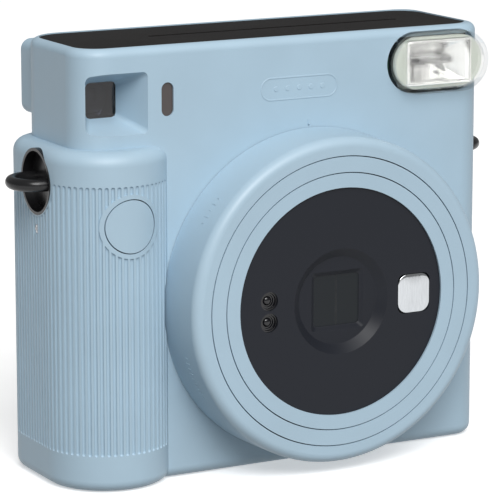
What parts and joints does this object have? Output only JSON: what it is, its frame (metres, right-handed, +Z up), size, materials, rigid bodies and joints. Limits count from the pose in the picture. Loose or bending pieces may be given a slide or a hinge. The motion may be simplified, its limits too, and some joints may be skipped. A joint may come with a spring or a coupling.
{
  "type": "instant camera",
  "caption": "Square-format instant film camera with ribbed hand grip, twist-out lens barrels, sliding lens doors, flash, viewfinder and hinged film and battery doors.",
  "frame": {"origin": "middle of the body shells in X and Y, on the plane of the base that the camera stands on", "axes": "+Z up; -Y is the way the lens looks; +X runs to the flash side, away from the hand grip"},
  "size_m": [0.1466, 0.0607, 0.1186],
  "materials": {
    "body_blue": "satin moulded shell",
    "ring_blue": "satin moulded barrel",
    "panel_black": "fine grained black",
    "face_black": "smooth satin black",
    "inner_black": "matt black",
    "lug_black": "semi-gloss black",
    "mirror_silver": "bright mirror",
    "clear_cover": "clear moulded",
    "window_glass": "dark clear",
    "lens_glass": "coated glass",
    "reflector_bright": "bright reflector",
    "tube_glass": "clear tube",
    "steel": "plain steel",
    "spring_steel": "spring steel",
    "board_green": "circuit board",
    "gear_white": "acetal",
    "roller_rubber": "rubber coated",
    "cell_wrap": "wrapped cell",
    "capacitor_wrap": "sleeved can",
    "pack_black": "film pack",
    "seal_foam": "foam strip",
    "pill_window": "tinted window",
    "barrier_black": "satin black blade"
  },
  "bodies": {
    "camera_body": {"front_cover": "body_blue", "rear_cover": "body_blue", "top_plate": "panel_black", "case_screws": "steel", "strap_lug_left": "lug_black", "strap_lug_right": "lug_black", "eyepiece_lens": "window_glass", "battery_door_pin": "steel", "film_door_pin": "steel", "lens_mount": "inner_black", "dark_box": "inner_black", "film_chamber": "inner_black", "film_pack": "pack_black", "grip_frame": "inner_black", "shutter_switch": "inner_black", "shutter_spring": "spring_steel", "flash_capacitor": "capacitor_wrap", "battery_bay": "inner_black", "battery_cells": "cell_wrap", "battery_contacts": "steel", "main_board": "board_green", "viewfinder_window": "window_glass", "viewfinder_tube": "inner_black", "metering_window": "pill_window", "flash_cover": "clear_cover", "flash_housing": "inner_black", "flash_reflector": "reflector_bright", "flash_tube": "tube_glass", "flash_board": "board_green", "roller_bracket_left": "steel", "roller_bracket_right": "steel", "eject_motor": "steel"},
    "control_ring": {"control_ring": "ring_blue"},
    "middle_barrel": {"middle_barrel": "ring_blue"},
    "inner_barrel": {"inner_barrel": "ring_blue", "lens_face": "face_black", "selfie_mirror": "mirror_silver", "metering_lenses": "lens_glass", "lens_cell": "inner_black", "front_element": "lens_glass", "rear_element": "lens_glass"},
    "barrier_left": {"barrier_left": "barrier_black"},
    "barrier_right": {"barrier_right": "barrier_black"},
    "shutter_blade": {"shutter_blade": "steel"},
    "shutter_button": {"shutter_button": "body_blue"},
    "film_door": {"film_door": "body_blue", "film_window": "window_glass", "counter_window": "window_glass", "pack_springs": "spring_steel", "light_seal": "seal_foam"},
    "counter_dial": {"counter_dial": "gear_white"},
    "film_latch": {"film_latch": "panel_black"},
    "battery_door": {"battery_door": "body_blue"},
    "exit_flap": {"exit_flap": "inner_black"},
    "roller_front": {"roller_front": "roller_rubber", "roller_gear_front": "gear_white"},
    "roller_rear": {"roller_rear": "roller_rubber", "roller_gear_rear": "gear_white"},
    "idler_gear": {"idler_gear": "gear_white"},
    "motor_pinion": {"motor_pinion": "gear_white"}
  },
  "joints": [
    {"name": "ring_twist", "type": "hinge", "parent": "camera_body", "child": "control_ring", "pos_m": [0.00975, -0.03, 0.048], "axis": [0, 1, 0], "range_deg": [0, 100]},
    {"name": "middle_extend", "type": "slide", "parent": "camera_body", "child": "middle_barrel", "axis": [0, -1, 0], "range_m": [0, 0.005]},
    {"name": "inner_extend", "type": "slide", "parent": "camera_body", "child": "inner_barrel", "axis": [0, -1, 0], "range_m": [0, 0.01]},
    {"name": "barrier_left_open", "type": "slide", "parent": "inner_barrel", "child": "barrier_left", "axis": [-1, 0, 0], "range_m": [0, 0.0074]},
    {"name": "barrier_right_open", "type": "slide", "parent": "inner_barrel", "child": "barrier_right", "axis": [1, 0, 0], "range_m": [0, 0.0074]},
    {"name": "shutter_swing", "type": "hinge", "parent": "inner_barrel", "child": "shutter_blade", "pos_m": [0.01575, -0.0225, 0.037], "axis": [0, 1, 0], "range_deg": [0, 55], "stiffness_Nm_per_rad": 0.0005, "springref_deg": -17.19},
    {"name": "shutter_press", "type": "slide", "parent": "camera_body", "child": "shutter_button", "axis": [0, 1, 0], "range_m": [0, 0.0015], "stiffness_N_per_m": 400, "springref_m": -0.0012, "deforming": ["shutter_spring"]},
    {"name": "film_door_hinge", "type": "hinge", "parent": "camera_body", "child": "film_door", "pos_m": [0.0586, 0.0181, 0.05], "axis": [0, 0, -1], "range_deg": [0, 95]},
    {"name": "latch_slide", "type": "slide", "parent": "film_door", "child": "film_latch", "axis": [0, 0, 1], "range_m": [0, 0.003], "stiffness_N_per_m": 120, "springref_m": -0.001},
    {"name": "counter_turn", "type": "hinge", "parent": "film_door", "child": "counter_dial", "pos_m": [-0.0195, 0.0174, 0.017], "axis": [0, 1, 0], "range_deg": [0, 300]},
    {"name": "battery_door_hinge", "type": "hinge", "parent": "camera_body", "child": "battery_door", "pos_m": [-0.0425, 0.0181, 0.0415], "axis": [0, 0, -1], "range_deg": [0, 95]},
    {"name": "exit_flap_swing", "type": "hinge", "parent": "camera_body", "child": "exit_flap", "pos_m": [0.00975, 0.0036, 0.1086], "axis": [-1, 0, 0], "range_deg": [0, 50], "stiffness_Nm_per_rad": 0.0005, "springref_deg": -17.19},
    {"name": "front_roller_spin", "type": "hinge", "parent": "camera_body", "child": "roller_front", "pos_m": [0.00975, -0.0029, 0.104], "axis": [1, 0, 0], "continuous": true},
    {"name": "rear_roller_spin", "type": "hinge", "parent": "camera_body", "child": "roller_rear", "pos_m": [0.00975, 0.0043, 0.104], "axis": [1, 0, 0], "continuous": true},
    {"name": "idler_spin", "type": "hinge", "parent": "camera_body", "child": "idler_gear", "pos_m": [0.055, -0.00838, 0.09764], "axis": [1, 0, 0], "continuous": true},
    {"name": "motor_spin", "type": "hinge", "parent": "camera_body", "child": "motor_pinion", "pos_m": [0.055, -0.0068, 0.09], "axis": [1, 0, 0], "continuous": true}
  ],
  "couplings": [
    {"joint": "middle_extend", "follows": "ring_twist", "m_per_rad": 0.00286},
    {"joint": "inner_extend", "follows": "ring_twist", "m_per_rad": 0.00572},
    {"joint": "barrier_left_open", "follows": "ring_twist", "m_per_rad": 0.00423},
    {"joint": "barrier_right_open", "follows": "ring_twist", "m_per_rad": 0.00423},
    {"joint": "rear_roller_spin", "follows": "front_roller_spin", "ratio": -1},
    {"joint": "idler_spin", "follows": "front_roller_spin", "ratio": -0.75},
    {"joint": "motor_spin", "follows": "front_roller_spin", "ratio": 1.2}
  ]
}
